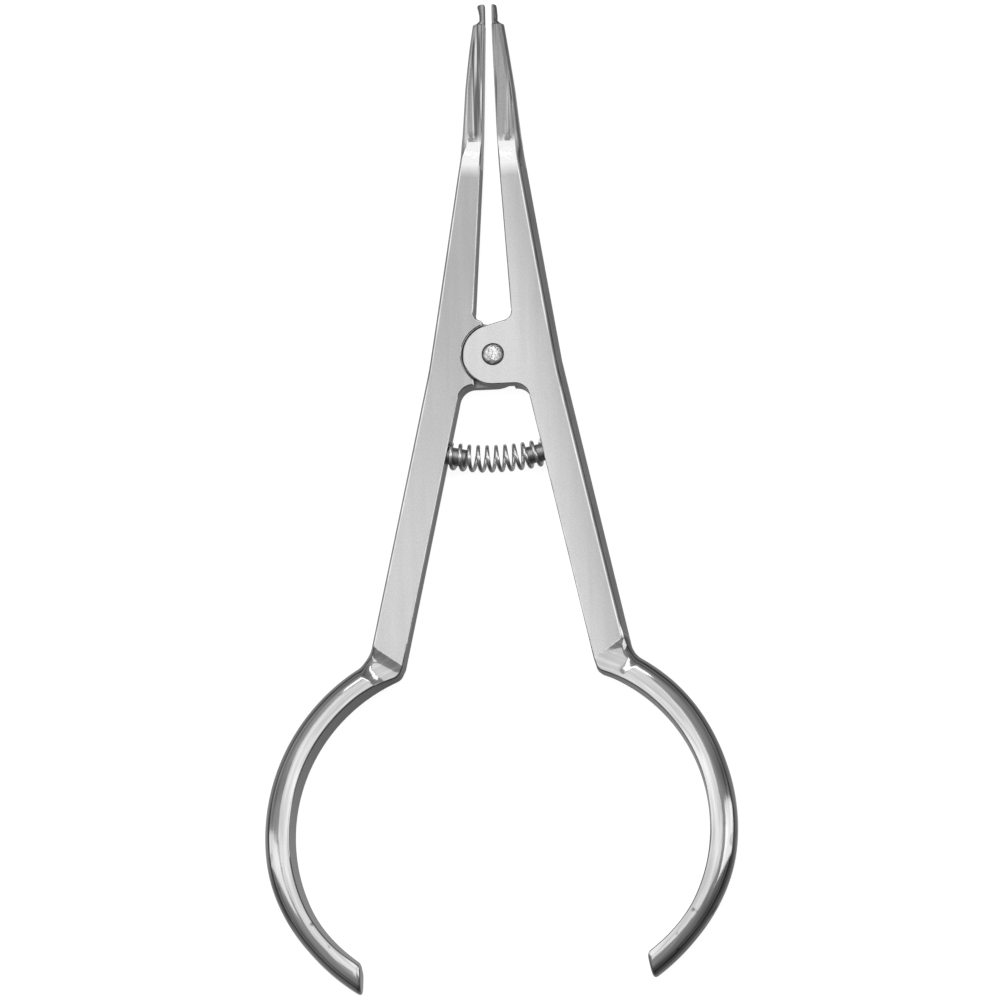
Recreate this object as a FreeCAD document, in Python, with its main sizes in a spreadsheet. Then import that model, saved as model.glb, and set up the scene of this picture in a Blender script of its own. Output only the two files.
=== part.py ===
import FreeCAD, Part
import math
import os
import Sketcher

# Slim spring-opened pliers with hooked tips, in millimetres.
# Every piece is drawn about the pivot: the pivot runs along Z through (0, 0), the tips point
# along +Y, the handles along -Y, and the right arm is on the +X side. A placement shared by all
# pieces then moves the origin to the middle of the underside of the whole tool.

DIMENSIONS = [
    # plate of each arm
    ("plate_thickness", 4.0),
    ("arm_angle", 12.4),
    ("arm_inner_offset", 3.8),
    ("arm_width", 5.75),
    ("arm_length", 47.4),
    ("arm_end_rise", 2.2),
    ("elbow_drop", 1.0),
    ("outer_wall_round", 1.1),
    # slot between the arms above the pivot
    ("slot_half_width", 2.75),
    ("slot_foot", 7.0),
    ("slot_foot_radius", 1.3),
    ("web_slope", 15.0),
    ("crotch_radius", 2.3),
    # noses and hooked tips, each length counted on from the piece below it
    ("nose_foot", 30.0),
    ("nose_foot_inner", 1.28),
    ("nose_foot_outer", 4.98),
    ("shoulder_length", 3.4),
    ("shoulder_inner", 1.1),
    ("shoulder_outer", 4.48),
    ("shoulder_height", 3.3),
    ("nose_length", 20.2),
    ("nose_end_outer", 2.3),
    ("nose_end_height", 2.2),
    ("nose_facet", 0.5),
    ("tip_half_gap", 0.53),
    ("hook_length", 3.0),
    ("hook_height", 1.5),
    ("hook_drop", 0.8),
    ("hook_corner", 0.3),
    ("hook_seat", 0.15),
    ("neck_outer", 1.36),
    ("left_hook_outer", 1.66),
    ("right_hook_outer", 1.24),
    # lap joint
    ("lobe_radius", 4.5),
    ("recess_clearance", 0.25),
    ("lap_gap", 0.1),
    ("top_relief", 1.6),
    ("bottom_relief", 2.9),
    ("rivet_radius", 1.25),
    ("rivet_running_clearance", 0.03),
    ("rivet_head_overhang", 0.4),
    ("rivet_head_height", 0.35),
    ("rivet_head_clearance", 0.04),
    # handles, each bow starting at the inner end of its plate
    ("bow_inner_radius", 25.0),
    ("bow_start_angle", 69.5),
    ("bow_start_set", 0.4),
    ("bow_end_angle", 50.2),
    ("bow_end_spare", 10.0),
    ("handle_width", 4.5),
    ("handle_rise", 0.8),
    ("left_end_slant", 1.0),
    ("right_end_slant", 14.0),
    # return spring and its pegs
    ("spring_down", 16.3),
    ("peg_radius", 1.3),
    ("peg_length", 2.9),
    ("peg_shank_radius", 0.8),
    ("peg_shank_length", 2.0),
    ("peg_hole_spare", 0.4),
    ("wire_diameter", 0.6),
    ("spring_turns", 10),
    ("spring_peg_clearance", 0.15),
    ("spring_seat_gap", 0.05),
]

doc = FreeCAD.newDocument("separating_pliers")
sheet = doc.addObject("Spreadsheet::Sheet", "dims")
for row, (alias, value) in enumerate(DIMENSIONS, start=1):
    sheet.set(f"A{row}", alias)
    sheet.set(f"B{row}", str(value))
    sheet.setAlias(f"B{row}", alias)
doc.recompute()

# Two places this close together are the same corner.
TOUCHING = 0.01

# Lengths that follow from the driving dimensions.
HALF_PLATE = "dims.plate_thickness / 2"
HANDLE_HEIGHT = "(dims.plate_thickness + dims.handle_rise)"
ARM_OUTER_OFFSET = "(dims.arm_inner_offset + dims.arm_width)"
LEAN = "(dims.arm_angle * 1deg)"
HEEL_OUT = f"(dims.arm_inner_offset / cos({LEAN}) + dims.arm_length * tan({LEAN}))"
BOW_START_REACH = "(dims.bow_inner_radius + dims.bow_start_set)"
BOW_CENTRE_OUT = f"({HEEL_OUT} - {BOW_START_REACH} * cos(dims.bow_start_angle * 1deg))"
BOW_CENTRE_DOWN = f"(dims.arm_length + {BOW_START_REACH} * sin(dims.bow_start_angle * 1deg))"
BOW_OUTER_RADIUS = "(dims.bow_inner_radius + dims.handle_width)"
BOW_END_OUT = "(dims.bow_inner_radius * cos(dims.bow_end_angle * 1deg))"
BOW_END_DOWN = "(dims.bow_inner_radius * sin(dims.bow_end_angle * 1deg))"
TAIL_REACH = f"({BOW_CENTRE_DOWN} + sqrt({BOW_OUTER_RADIUS} ^ 2 - {BOW_END_OUT} ^ 2))"
NOSE_END = "(dims.nose_foot + dims.nose_length)"
TIP_REACH = f"({NOSE_END} + dims.hook_length)"
WEB_TAN = "tan(dims.web_slope * 1deg)"
WEB_RISE = "(dims.lobe_radius / cos(dims.web_slope * 1deg))"
SLOT_LEAN = "((dims.slot_half_width - dims.nose_foot_inner) / (dims.nose_foot - dims.slot_foot))"
RECESS_RADIUS = "(dims.lobe_radius + dims.recess_clearance)"
RECESS_DEPTH = f"({HALF_PLATE} + dims.lap_gap / 2)"
SPRING_STEPS_A_TURN = 16
# Corners of the rivet's low dome, as shares of the head's radius and of its height.
DOME = [(1.0, 0.35), (0.9, 0.7), (0.6, 0.95)]


def size(expression):
    """The value that an expression on the sheet has now."""
    return float(doc.getObject("reference").evalExpression(expression))


doc.addObject("App::FeaturePython", "reference")


def on_edge(offset, down):
    """Point on a line parallel to an arm, `offset` out from the pivot, at `down` below it."""
    return f"(({offset}) / cos({LEAN}) + ({down}) * tan({LEAN}))", f"-({down})"


def along_edge(offset, distance):
    """Point at a distance along an arm, measured from the foot of the pivot's perpendicular."""
    out = f"(({offset}) * cos({LEAN}) + ({distance}) * sin({LEAN}))"
    up = f"(({offset}) * sin({LEAN}) - ({distance}) * cos({LEAN}))"
    return out, up


def to_frame(piece):
    """Moves a piece from the pivot to the frame at the middle of the tool's underside."""
    piece.setExpression("Placement.Base.y", f"({TAIL_REACH} - {TIP_REACH}) / 2")
    piece.setExpression("Placement.Base.z", f"{HANDLE_HEIGHT} / 2")


def new_body(name):
    body = doc.addObject("PartDesign::Body", name)
    body.Label = name
    return body


def new_sketch(body, name, role, offset=None, turn=None):
    """A sketch on one of the body's planes, moved by `offset` and turned about its own Y."""
    sketch = body.newObject("Sketcher::SketchObject", name)
    plane = [item for item in body.Origin.OriginFeatures if item.Role == role][0]
    sketch.AttachmentSupport = [(plane, "")]
    sketch.MapMode = "FlatFace"
    if turn:
        rotation = FreeCAD.Rotation(FreeCAD.Vector(0, 1, 0), size(turn))
        sketch.AttachmentOffset = FreeCAD.Placement(FreeCAD.Vector(0, 0, 0), rotation)
        sketch.setExpression("AttachmentOffset.Rotation.Angle", f"({turn}) * 1deg")
    for axis, expression in zip("xyz", offset or ()):
        sketch.setExpression(f"AttachmentOffset.Base.{axis}", expression)
    return sketch


def pin_point(sketch, element, end, place):
    """Holds one point of a sketch at a place worked out from the sheet."""
    for kind, expression in zip(("DistanceX", "DistanceY"), place):
        row = sketch.addConstraint(Sketcher.Constraint(kind, -1, 1, element, end, size(expression)))
        sketch.setExpression(f"Constraints[{row}]", expression)


def draw_polygon(sketch, corners):
    points = [FreeCAD.Vector(size(x), size(y), 0) for x, y in corners]
    count = len(points)
    for index in range(count):
        sketch.addGeometry(Part.LineSegment(points[index], points[(index + 1) % count]), False)
    for index in range(count):
        sketch.addConstraint(Sketcher.Constraint("Coincident", index, 2, (index + 1) % count, 1))
    for index, corner in enumerate(corners):
        pin_point(sketch, index, 1, corner)


def draw_circle(sketch, radius, centre=("0", "0")):
    middle = FreeCAD.Vector(size(centre[0]), size(centre[1]), 0)
    circle = sketch.addGeometry(Part.Circle(middle, FreeCAD.Vector(0, 0, 1), size(radius)), False)
    pin_point(sketch, circle, 3, centre)
    row = sketch.addConstraint(Sketcher.Constraint("Radius", circle, size(radius)))
    sketch.setExpression(f"Constraints[{row}]", radius)


def extrude(body, kind, name, sketch, length, reverse=False):
    """A Pad up from the sketch, or a Pocket down from it."""
    feature = body.newObject(f"PartDesign::{kind}", name)
    feature.Profile = sketch
    feature.Reversed = reverse
    feature.setExpression("Length", length)
    sketch.Visibility = False
    doc.recompute()
    return feature


def cut_checked(body, before):
    """A cut must take material away."""
    if body.Shape.Volume >= before - 1e-6:
        raise RuntimeError(f"{body.Label}: a cut removed nothing")


def round_edges(body, name, test, radius):
    base = body.Tip
    chosen = [f"Edge{index}" for index, edge in enumerate(base.Shape.Edges, start=1) if test(edge)]
    if not chosen:
        raise RuntimeError(f"{body.Label}: {name} found no edge")
    fillet = body.newObject("PartDesign::Fillet", name)
    fillet.Base = (base, chosen)
    fillet.setExpression("Radius", radius)
    doc.recompute()


def in_plan(point, spot):
    return math.hypot(point.x - spot[0], point.y - spot[1]) < TOUCHING


def upright_at(place):
    """Test for the vertical edge through a place in the plan view."""
    spot = [size(value) for value in place]

    def test(edge):
        return all(in_plan(vertex.Point, spot) for vertex in edge.Vertexes)
    return test


def level_between(runs):
    """Test for the level edges that run, in the plan view, from one given place to another."""
    middles = [[size(f"({a} + {b}) / 2") for a, b in zip(*run)] for run in runs]

    def test(edge):
        middle = edge.valueAt((edge.FirstParameter + edge.LastParameter) / 2)
        level = edge.BoundBox.ZLength < TOUCHING
        return level and any(in_plan(middle, spot) for spot in middles)
    return test


def add_plate(body, side):
    """The flat plate of one arm, from the foot of its nose to its handle, with the lobe."""
    def mirror(place):
        return f"{side} * {place[0]}", place[1]

    web_corner_out = (f"((dims.slot_half_width + {SLOT_LEAN} * (dims.slot_foot - {WEB_RISE}))"
                      f" / (1 + {SLOT_LEAN} * {WEB_TAN}))")
    web_corner = (web_corner_out, f"({WEB_RISE} + {web_corner_out} * {WEB_TAN})")
    lobe_top = ("(-dims.lobe_radius * sin(dims.web_slope * 1deg))",
                "(dims.lobe_radius * cos(dims.web_slope * 1deg))")
    elbow = on_edge(ARM_OUTER_OFFSET, "dims.elbow_drop")
    crotch = on_edge("dims.arm_inner_offset", "dims.lobe_radius")
    corners = [
        ("dims.nose_foot_inner", "dims.nose_foot"),
        ("dims.nose_foot_outer", "dims.nose_foot"),
        elbow,
        on_edge(ARM_OUTER_OFFSET, "(dims.arm_length - dims.arm_end_rise)"),
        on_edge("dims.arm_inner_offset", "dims.arm_length"),
        crotch,
        ("0", "-dims.lobe_radius"),
        lobe_top,
        web_corner,
    ]
    bottom = ("0", "0", f"-{HALF_PLATE}")
    outline = new_sketch(body, "plate_outline", "XY_Plane", bottom)
    draw_polygon(outline, [mirror(corner) for corner in corners])
    extrude(body, "Pad", "plate", outline, "dims.plate_thickness")
    lobe = new_sketch(body, "lobe_outline", "XY_Plane", bottom)
    draw_circle(lobe, "dims.lobe_radius")
    extrude(body, "Pad", "lobe", lobe, "dims.plate_thickness")
    round_edges(body, "crotch_round", upright_at(mirror(crotch)), "dims.crotch_radius")
    round_edges(body, "slot_round", upright_at(mirror(web_corner)), "dims.slot_foot_radius")
    # The outer wall is convex, so both of its long edges are rounded.
    foot, upper, lower = (mirror(corner) for corner in corners[1:4])
    outer_edges = level_between([(foot, upper), (upper, lower)])
    round_edges(body, "outer_wall", outer_edges, "dims.outer_wall_round")


def add_nose(body, side):
    """The tapered nose: eight-sided sections, flat towards its twin."""
    shoulder = "(dims.nose_foot + dims.shoulder_length)"
    stations = [
        ("dims.nose_foot", "dims.nose_foot_inner", "dims.nose_foot_outer", "dims.plate_thickness"),
        (shoulder, "dims.shoulder_inner", "dims.shoulder_outer", "dims.shoulder_height"),
        (NOSE_END, "dims.tip_half_gap", "dims.nose_end_outer", "dims.nose_end_height"),
    ]
    sections = []
    for index, (reach, inner, outer, height) in enumerate(stations):
        share = f"(({outer} - {inner}) / (dims.nose_foot_outer - dims.nose_foot_inner))"
        facet = f"(dims.nose_facet * {share})"
        wide = f"({facet} * 2)"
        top = f"({height} / 2)"
        section = new_sketch(body, f"nose_section_{index}", "XZ_Plane", ("0", "0", f"-{reach}"))
        ring = [
            (inner, f"-({top} - {facet})"), (inner, f"({top} - {facet})"),
            (f"({inner} + {facet})", top), (f"({outer} - {wide})", top),
            (outer, f"({top} - {wide})"), (outer, f"-({top} - {wide})"),
            (f"({outer} - {wide})", f"-{top}"), (f"({inner} + {facet})", f"-{top}"),
        ]
        draw_polygon(section, [(f"{side} * {x}", z) for x, z in ring])
        section.Visibility = False
        sections.append(section)
    doc.recompute()
    loft = body.newObject("PartDesign::AdditiveLoft", "nose")
    loft.Profile = sections[0]
    loft.Sections = sections[1:]
    loft.Ruled = True
    doc.recompute()


def add_hook(body, side, hook_outer):
    """The small post at the tip, necked in so that a band or ring can't slide off."""
    shoulder = f"({NOSE_END} - dims.hook_seat)"
    corners = [
        ("dims.tip_half_gap", shoulder),
        ("dims.tip_half_gap", TIP_REACH),
        (f"({hook_outer} - dims.hook_corner)", TIP_REACH),
        (hook_outer, f"({TIP_REACH} - dims.hook_corner)"),
        (f"(({hook_outer} + dims.neck_outer) / 2)", f"({TIP_REACH} - dims.hook_drop)"),
        ("dims.neck_outer", f"({TIP_REACH} - 2 * dims.hook_drop)"),
        ("dims.neck_outer", f"({NOSE_END} + 2 * dims.hook_corner)"),
        ("(dims.nose_end_outer - dims.hook_corner)", f"({NOSE_END} + dims.hook_corner)"),
        ("(dims.nose_end_outer - dims.hook_seat)", shoulder),
    ]
    outline = new_sketch(body, "hook_outline", "XY_Plane", ("0", "0", "-dims.hook_height / 2"))
    draw_polygon(outline, [(f"{side} * {x}", y) for x, y in corners])
    extrude(body, "Pad", "hook", outline, "dims.hook_height")


def add_handle(body, side, slant):
    """The bowed handle: a D section, flat inside the bow, swept about the bow's centre."""
    sweep = "(dims.bow_start_angle + dims.bow_end_angle + dims.bow_end_spare)"
    first = "180 - dims.bow_start_angle"
    if side > 0:
        first = "-(dims.bow_end_angle + dims.bow_end_spare)"
    centre = (f"{side} * {BOW_CENTRE_OUT}", "0", BOW_CENTRE_DOWN)
    profile = new_sketch(body, "handle_section", "XZ_Plane", centre, turn=first)
    flat = "dims.bow_inner_radius"
    half = f"({HANDLE_HEIGHT} / 2)"
    shoulder = f"({BOW_OUTER_RADIUS} - {half})"
    points = [(shoulder, f"-{half}"), (flat, f"-{half}"), (flat, half), (shoulder, half)]
    spots = [FreeCAD.Vector(size(x), size(y), 0) for x, y in points]
    for start, end in zip(spots[:-1], spots[1:]):
        profile.addGeometry(Part.LineSegment(start, end), False)
    middle = FreeCAD.Vector(size(shoulder), 0, 0)
    crown = Part.Circle(middle, FreeCAD.Vector(0, 0, 1), size(half))
    arc = profile.addGeometry(Part.ArcOfCircle(crown, -math.pi / 2, math.pi / 2), False)
    profile.addConstraint(Sketcher.Constraint("Coincident", 0, 2, 1, 1))
    profile.addConstraint(Sketcher.Constraint("Coincident", 1, 2, 2, 1))
    profile.addConstraint(Sketcher.Constraint("Coincident", 0, 1, arc, 1))
    for element, place in enumerate(points[:3]):
        pin_point(profile, element, 1, place)
    pin_point(profile, 2, 2, points[3])
    profile.addConstraint(Sketcher.Constraint("Tangent", 2, 2, arc, 2))
    handle = body.newObject("PartDesign::Revolution", "handle")
    handle.Profile = profile
    handle.ReferenceAxis = (profile, ["V_Axis"])
    handle.setExpression("Angle", sweep)
    profile.Visibility = False
    doc.recompute()
    # The end is cut off on a slant, nearly in line with the tool.
    before = body.Shape.Volume
    run = f"(2 * {HANDLE_HEIGHT})"
    lean = f"tan({slant} * 1deg)"
    end_out = f"({BOW_CENTRE_OUT} + {BOW_END_OUT})"
    end_up = f"(-{BOW_CENTRE_DOWN} - {BOW_END_DOWN})"
    corners = [
        (end_out, end_up),
        (f"({end_out} + {run} * {lean})", f"({end_up} - {run})"),
        (f"({end_out} - {run})", f"({end_up} - {run})"),
        (f"({end_out} - {run})", f"({end_up} + {run})"),
        (f"({end_out} - {run} * {lean})", f"({end_up} + {run})"),
    ]
    cutter = new_sketch(body, "handle_end", "XY_Plane", ("0", "0", HANDLE_HEIGHT))
    draw_polygon(cutter, [(f"{side} * {x}", y) for x, y in corners])
    extrude(body, "Pocket", "handle_end_cut", cutter, f"2 * {HANDLE_HEIGHT}")
    cut_checked(body, before)


def cut_lap(body, side, floor):
    """Takes half of the plate's thickness away round the other arm's lobe, down from `floor`."""
    before = body.Shape.Volume
    recess = new_sketch(body, "recess_outline", "XY_Plane", ("0", "0", floor))
    draw_circle(recess, RECESS_RADIUS)
    extrude(body, "Pocket", "recess", recess, RECESS_DEPTH)
    cut_checked(body, before)
    before = body.Shape.Volume
    reach = "(2 * dims.lobe_radius)"
    relief = new_sketch(body, "relief_outline", "XY_Plane", ("0", "0", floor))
    corners = [
        ("dims.top_relief", reach), (f"-{reach}", reach), (f"-{reach}", f"-{reach}"),
        ("dims.bottom_relief", f"-{reach}"), ("dims.bottom_relief", "0"), ("dims.top_relief", "0"),
    ]
    draw_polygon(relief, [(f"{side} * {x}", y) for x, y in corners])
    extrude(body, "Pocket", "relief", relief, RECESS_DEPTH)
    cut_checked(body, before)


def drill_rivet(body, radius):
    before = body.Shape.Volume
    bore = new_sketch(body, "rivet_bore", "XY_Plane", ("0", "0", "dims.plate_thickness"))
    draw_circle(bore, radius)
    extrude(body, "Pocket", "rivet_hole", bore, "dims.plate_thickness * 2")
    cut_checked(body, before)


def peg_sketch(body, side, name, lift):
    """A sketch across a peg's axis, `lift` in from the arm's inner wall."""
    out, up = along_edge(f"(dims.arm_inner_offset - {lift})", "dims.spring_down")
    turn = f"{side} * dims.arm_angle"
    return new_sketch(body, name, "YZ_Plane", (up, "0", f"{side} * {out}"), turn=turn)


def drill_peg(body, side):
    before = body.Shape.Volume
    bore = peg_sketch(body, side, "peg_bore", "0")
    draw_circle(bore, "dims.peg_shank_radius")
    depth = "dims.peg_shank_length + dims.peg_hole_spare"
    extrude(body, "Pocket", "peg_hole", bore, depth, reverse=side > 0)
    cut_checked(body, before)


def make_arm(name, side, recess_floor, bore_radius, hook_outer, slant):
    body = new_body(name)
    add_plate(body, side)
    add_nose(body, side)
    add_hook(body, side, hook_outer)
    add_handle(body, side, slant)
    cut_lap(body, side, recess_floor)
    drill_rivet(body, bore_radius)
    drill_peg(body, side)
    to_frame(body)
    return body


def make_rivet():
    """The pivot: a plain shank with a low domed head formed at each end."""
    body = new_body("pivot_rivet")
    face = f"({HALF_PLATE} + dims.rivet_head_clearance)"
    crown = f"({face} + dims.rivet_head_height)"
    profile = new_sketch(body, "rivet_section", "XZ_Plane")
    rim = "(dims.rivet_radius + dims.rivet_head_overhang)"
    half = [("dims.rivet_radius", face), (rim, face)]
    for out_share, rise_share in DOME:
        half.append((f"({rim} * {out_share})", f"({face} + dims.rivet_head_height * {rise_share})"))
    half.append(("0", crown))
    corners = half + [(x, f"-{z}") for x, z in reversed(half)]
    draw_polygon(profile, corners)
    rivet = body.newObject("PartDesign::Revolution", "rivet")
    rivet.Profile = profile
    rivet.ReferenceAxis = (profile, ["V_Axis"])
    rivet.Angle = 360
    profile.Visibility = False
    doc.recompute()
    to_frame(body)
    return body


def make_peg(name, side):
    """A headed peg: its shank is pressed into the arm, its head guides the end of the spring."""
    body = new_body(name)
    inward = side > 0
    head = peg_sketch(body, side, "peg_head_outline", "0")
    draw_circle(head, "dims.peg_radius")
    extrude(body, "Pad", "peg_head", head, "dims.peg_length", reverse=inward)
    shank = peg_sketch(body, side, "peg_shank_outline", "0")
    draw_circle(shank, "dims.peg_shank_radius")
    extrude(body, "Pad", "peg_shank", shank, "dims.peg_shank_length", reverse=not inward)
    to_frame(body)
    return body


def make_spring():
    """The return spring: round wire coiled about an arc that leaves both arms square to them."""
    out, up = (size(value) for value in along_edge("dims.arm_inner_offset", "dims.spring_down"))
    lean = math.radians(size("dims.arm_angle"))
    wire_radius = size("dims.wire_diameter") / 2
    coil_radius = size("dims.peg_radius + dims.spring_peg_clearance") + wire_radius
    bend_radius = out / math.sin(lean)
    bend_centre = up + bend_radius * math.cos(lean)
    half_sweep = lean - (wire_radius + size("dims.spring_seat_gap")) / (bend_radius - coil_radius)
    steps = SPRING_STEPS_A_TURN * int(size("dims.spring_turns"))
    points = []
    for step in range(steps + 1):
        along = half_sweep * (2 * step / steps - 1)
        around = 2 * math.pi * step / SPRING_STEPS_A_TURN
        reach = bend_radius - coil_radius * math.cos(around)
        points.append(FreeCAD.Vector(reach * math.sin(along), bend_centre - reach * math.cos(along),
                                     coil_radius * math.sin(around)))
    line = Part.BSplineCurve()
    line.interpolate(points)
    path = Part.Wire([line.toShape()])
    start = line.tangent(line.FirstParameter)[0]
    section = Part.Wire([Part.Circle(points[0], start, wire_radius).toShape()])
    spring = doc.addObject("Part::Feature", "return_spring")
    spring.Label = "return_spring"
    spring.Shape = path.makePipeShell([section], True, True)
    ideal = math.pi * wire_radius ** 2 * path.Length
    if abs(spring.Shape.Volume / ideal - 1) > 0.02:
        raise RuntimeError("the spring's wire isn't as thick as it should be")
    to_frame(spring)
    return spring


nodes = [
    make_arm("left_arm", -1, HALF_PLATE, "dims.rivet_radius", "dims.left_hook_outer",
             "dims.left_end_slant"),
    make_arm("right_arm", 1, "dims.lap_gap / 2",
             "dims.rivet_radius + dims.rivet_running_clearance", "dims.right_hook_outer",
             "dims.right_end_slant"),
    make_rivet(),
    make_peg("left_spring_peg", -1),
    make_peg("right_spring_peg", 1),
    make_spring(),
]
doc.recompute()

for item in doc.Objects:
    if "Invalid" in item.State or "Error" in item.State:
        raise RuntimeError(f"{item.Label} failed: {item.State}")
for node in nodes:
    shape = node.Shape
    if shape.isNull() or not shape.isValid() or len(shape.Solids) != 1:
        raise RuntimeError(f"{node.Label} is not one valid solid")

os.makedirs("parts", exist_ok=True)
for node in nodes:
    node.Shape.exportStep(f"parts/{node.Label}.step")
    print(node.Label, round(node.Shape.Volume, 2), node.Shape.BoundBox)
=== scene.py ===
import math
import bmesh
import bpy
from mathutils import Matrix, Vector, noise


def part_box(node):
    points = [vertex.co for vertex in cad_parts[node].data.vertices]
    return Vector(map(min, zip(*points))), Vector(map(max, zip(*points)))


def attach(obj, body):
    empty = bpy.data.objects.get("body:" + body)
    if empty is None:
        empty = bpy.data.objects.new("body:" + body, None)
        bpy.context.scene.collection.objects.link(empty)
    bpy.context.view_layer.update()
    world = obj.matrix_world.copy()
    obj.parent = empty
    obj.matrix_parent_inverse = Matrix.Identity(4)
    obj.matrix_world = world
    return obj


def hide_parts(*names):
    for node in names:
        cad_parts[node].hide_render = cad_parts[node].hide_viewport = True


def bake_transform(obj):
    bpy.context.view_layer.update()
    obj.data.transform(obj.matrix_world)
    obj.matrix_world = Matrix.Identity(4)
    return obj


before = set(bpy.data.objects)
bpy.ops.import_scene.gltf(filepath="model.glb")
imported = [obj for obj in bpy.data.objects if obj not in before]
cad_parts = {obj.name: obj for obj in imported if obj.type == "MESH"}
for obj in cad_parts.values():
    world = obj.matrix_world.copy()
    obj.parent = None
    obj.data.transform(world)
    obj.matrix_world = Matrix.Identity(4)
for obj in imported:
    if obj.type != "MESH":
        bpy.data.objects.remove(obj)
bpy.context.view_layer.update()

rivet_low, rivet_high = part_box("pivot_rivet")
PIVOT = (rivet_low + rivet_high) / 2
MM = 0.001

# Sizes in millimetres from the pivot: X across, Y towards the tips, Z towards the front.
ARM_ANGLE = 12.4
OUTWARD = Vector((math.cos(math.radians(ARM_ANGLE)), math.sin(math.radians(ARM_ANGLE))))
DOWNWARD = Vector((OUTWARD.y, -OUTWARD.x))
INNER_OFFSET = 3.8
OUTER_OFFSET = 9.55
HALF_PLATE = 2.0
HALF_HANDLE = 2.4
EDGE_ROUND = 0.22
HOOK_EDGE = 0.16
WALL_SWELL = 0.85
NOSE_FOOT = 30.0
PLATE_START = 28.2
NOSE_SHOULDER = 33.4
NOSE_END = 50.2
INNER_EDGE = [(7.0, 2.75), (NOSE_FOOT, 1.28), (NOSE_SHOULDER, 1.1), (NOSE_END, 0.53)]
OUTER_EDGE = [(-1.0, 9.998), (NOSE_FOOT, 4.98), (NOSE_SHOULDER, 4.48), (40.2, 3.76), (46.2, 2.91),
              (NOSE_END, 2.3)]
NOSE_HALF = [(NOSE_SHOULDER, 1.62), (NOSE_END, 1.1)]
NOSE_EDGE = 0.12
NOSE_END_ROUND = 0.2
TIP_GAP = 0.53
TIP = 53.2
HOOK_HALF = 0.75
HOOK_WAIST = 1.36
SLOT_FOOT = 7.0
FACE_END_INNER = 48.0
FACE_END_OUTER = 45.6
HEEL_ROUND = 1.5
NECK_ROUND = 3.5
BOW_CENTRE = Vector((5.417, -71.19))
BOW_INNER = 25.0
BOW_OUTER = 29.5
BOW_FULLNESS = 0.76
NECK_ANGLE = 50
END_ANGLE = -50.2
END_ROUND = 0.7
TAPER_OUTER = 1.35
TAPER_INNER = 0.8
LOBE = 4.5
RECESS = 4.67
LAP_GAP = 0.05
WEB_START = Vector((-1.2, 4.337))
WEB_CORNER = Vector((2.85, 5.42))
WEB_ROUND = 1.3
CROTCH_CORNER = Vector((4.88, -4.5))
CROTCH_ROUND = 2.3
RELIEF_TOP = -1.6
RELIEF_BOTTOM = -2.9
RIVET_BORE = 1.27
WEB_HALF = HALF_PLATE + 0.001
CREASE_ANGLE = 21
SATIN, GROUND, BRIGHT, STONED = 0, 1, 2, 3


def ramp(value, low, high):
    """0 at low, 1 at high, and a smooth rise between them."""
    share = min(max((value - low) / (high - low), 0.0), 1.0)
    return share * share * (3 - 2 * share)


def read(table, value):
    """Straight-line reading of a table of (place, size)."""
    for (low, first), (high, last) in zip(table[:-1], table[1:]):
        if value <= high:
            break
    share = min(max((value - low) / (high - low), 0.0), 1.0)
    return first + (last - first) * share


def on_arm(offset, down):
    """The place at an offset outwards from the arm's line and a distance down along it."""
    return OUTWARD * offset + DOWNWARD * down


def arc(centre, radius, first, last, steps):
    """Points on an arc; the angles are in degrees."""
    angles = [math.radians(first + (last - first) * step / steps) for step in range(steps + 1)]
    return [centre + Vector((math.cos(angle), math.sin(angle))) * radius for angle in angles]


def evenly(points, count):
    """The same line, with its points evenly spaced."""
    lengths = [0.0]
    for start, end in zip(points[:-1], points[1:]):
        lengths.append(lengths[-1] + (end - start).length)
    across = [(length, point.x) for length, point in zip(lengths, points)]
    along = [(length, point.y) for length, point in zip(lengths, points)]
    places = [lengths[-1] * step / (count - 1) for step in range(count)]
    return [Vector((read(across, place), read(along, place))) for place in places]


def neck_edge(offset, radius, bow_radius, start, count):
    """One edge of the neck: down the arm, round its corner, and on along the bow."""
    out = offset + radius - BOW_CENTRE.dot(OUTWARD)
    reach = bow_radius + radius
    down = BOW_CENTRE.dot(DOWNWARD) - math.sqrt(reach ** 2 - out ** 2)
    centre = on_arm(offset + radius, down)
    toward = centre - BOW_CENTRE
    bow_angle = math.degrees(math.atan2(toward.y, toward.x))
    points = [on_arm(offset, start)]
    points += arc(centre, radius, 180 + ARM_ANGLE, 180 + bow_angle, 10)
    points += arc(BOW_CENTRE, bow_radius, bow_angle, NECK_ANGLE, 12)[1:]
    return evenly(points, count)


def fillet(before, corner, after, radius, steps):
    """Arc that rounds a corner of an outline."""
    back = (before - corner).normalized()
    on = (after - corner).normalized()
    half = back.angle(on) / 2
    centre = corner + (back + on).normalized() * radius / math.sin(half)
    reach = radius / math.tan(half)
    first, last = corner + back * reach - centre, corner + on * reach - centre
    start = math.degrees(math.atan2(first.y, first.x))
    turn = (math.degrees(math.atan2(last.y, last.x)) - start + 180) % 360 - 180
    return arc(centre, radius, start, start + turn, steps)


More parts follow.
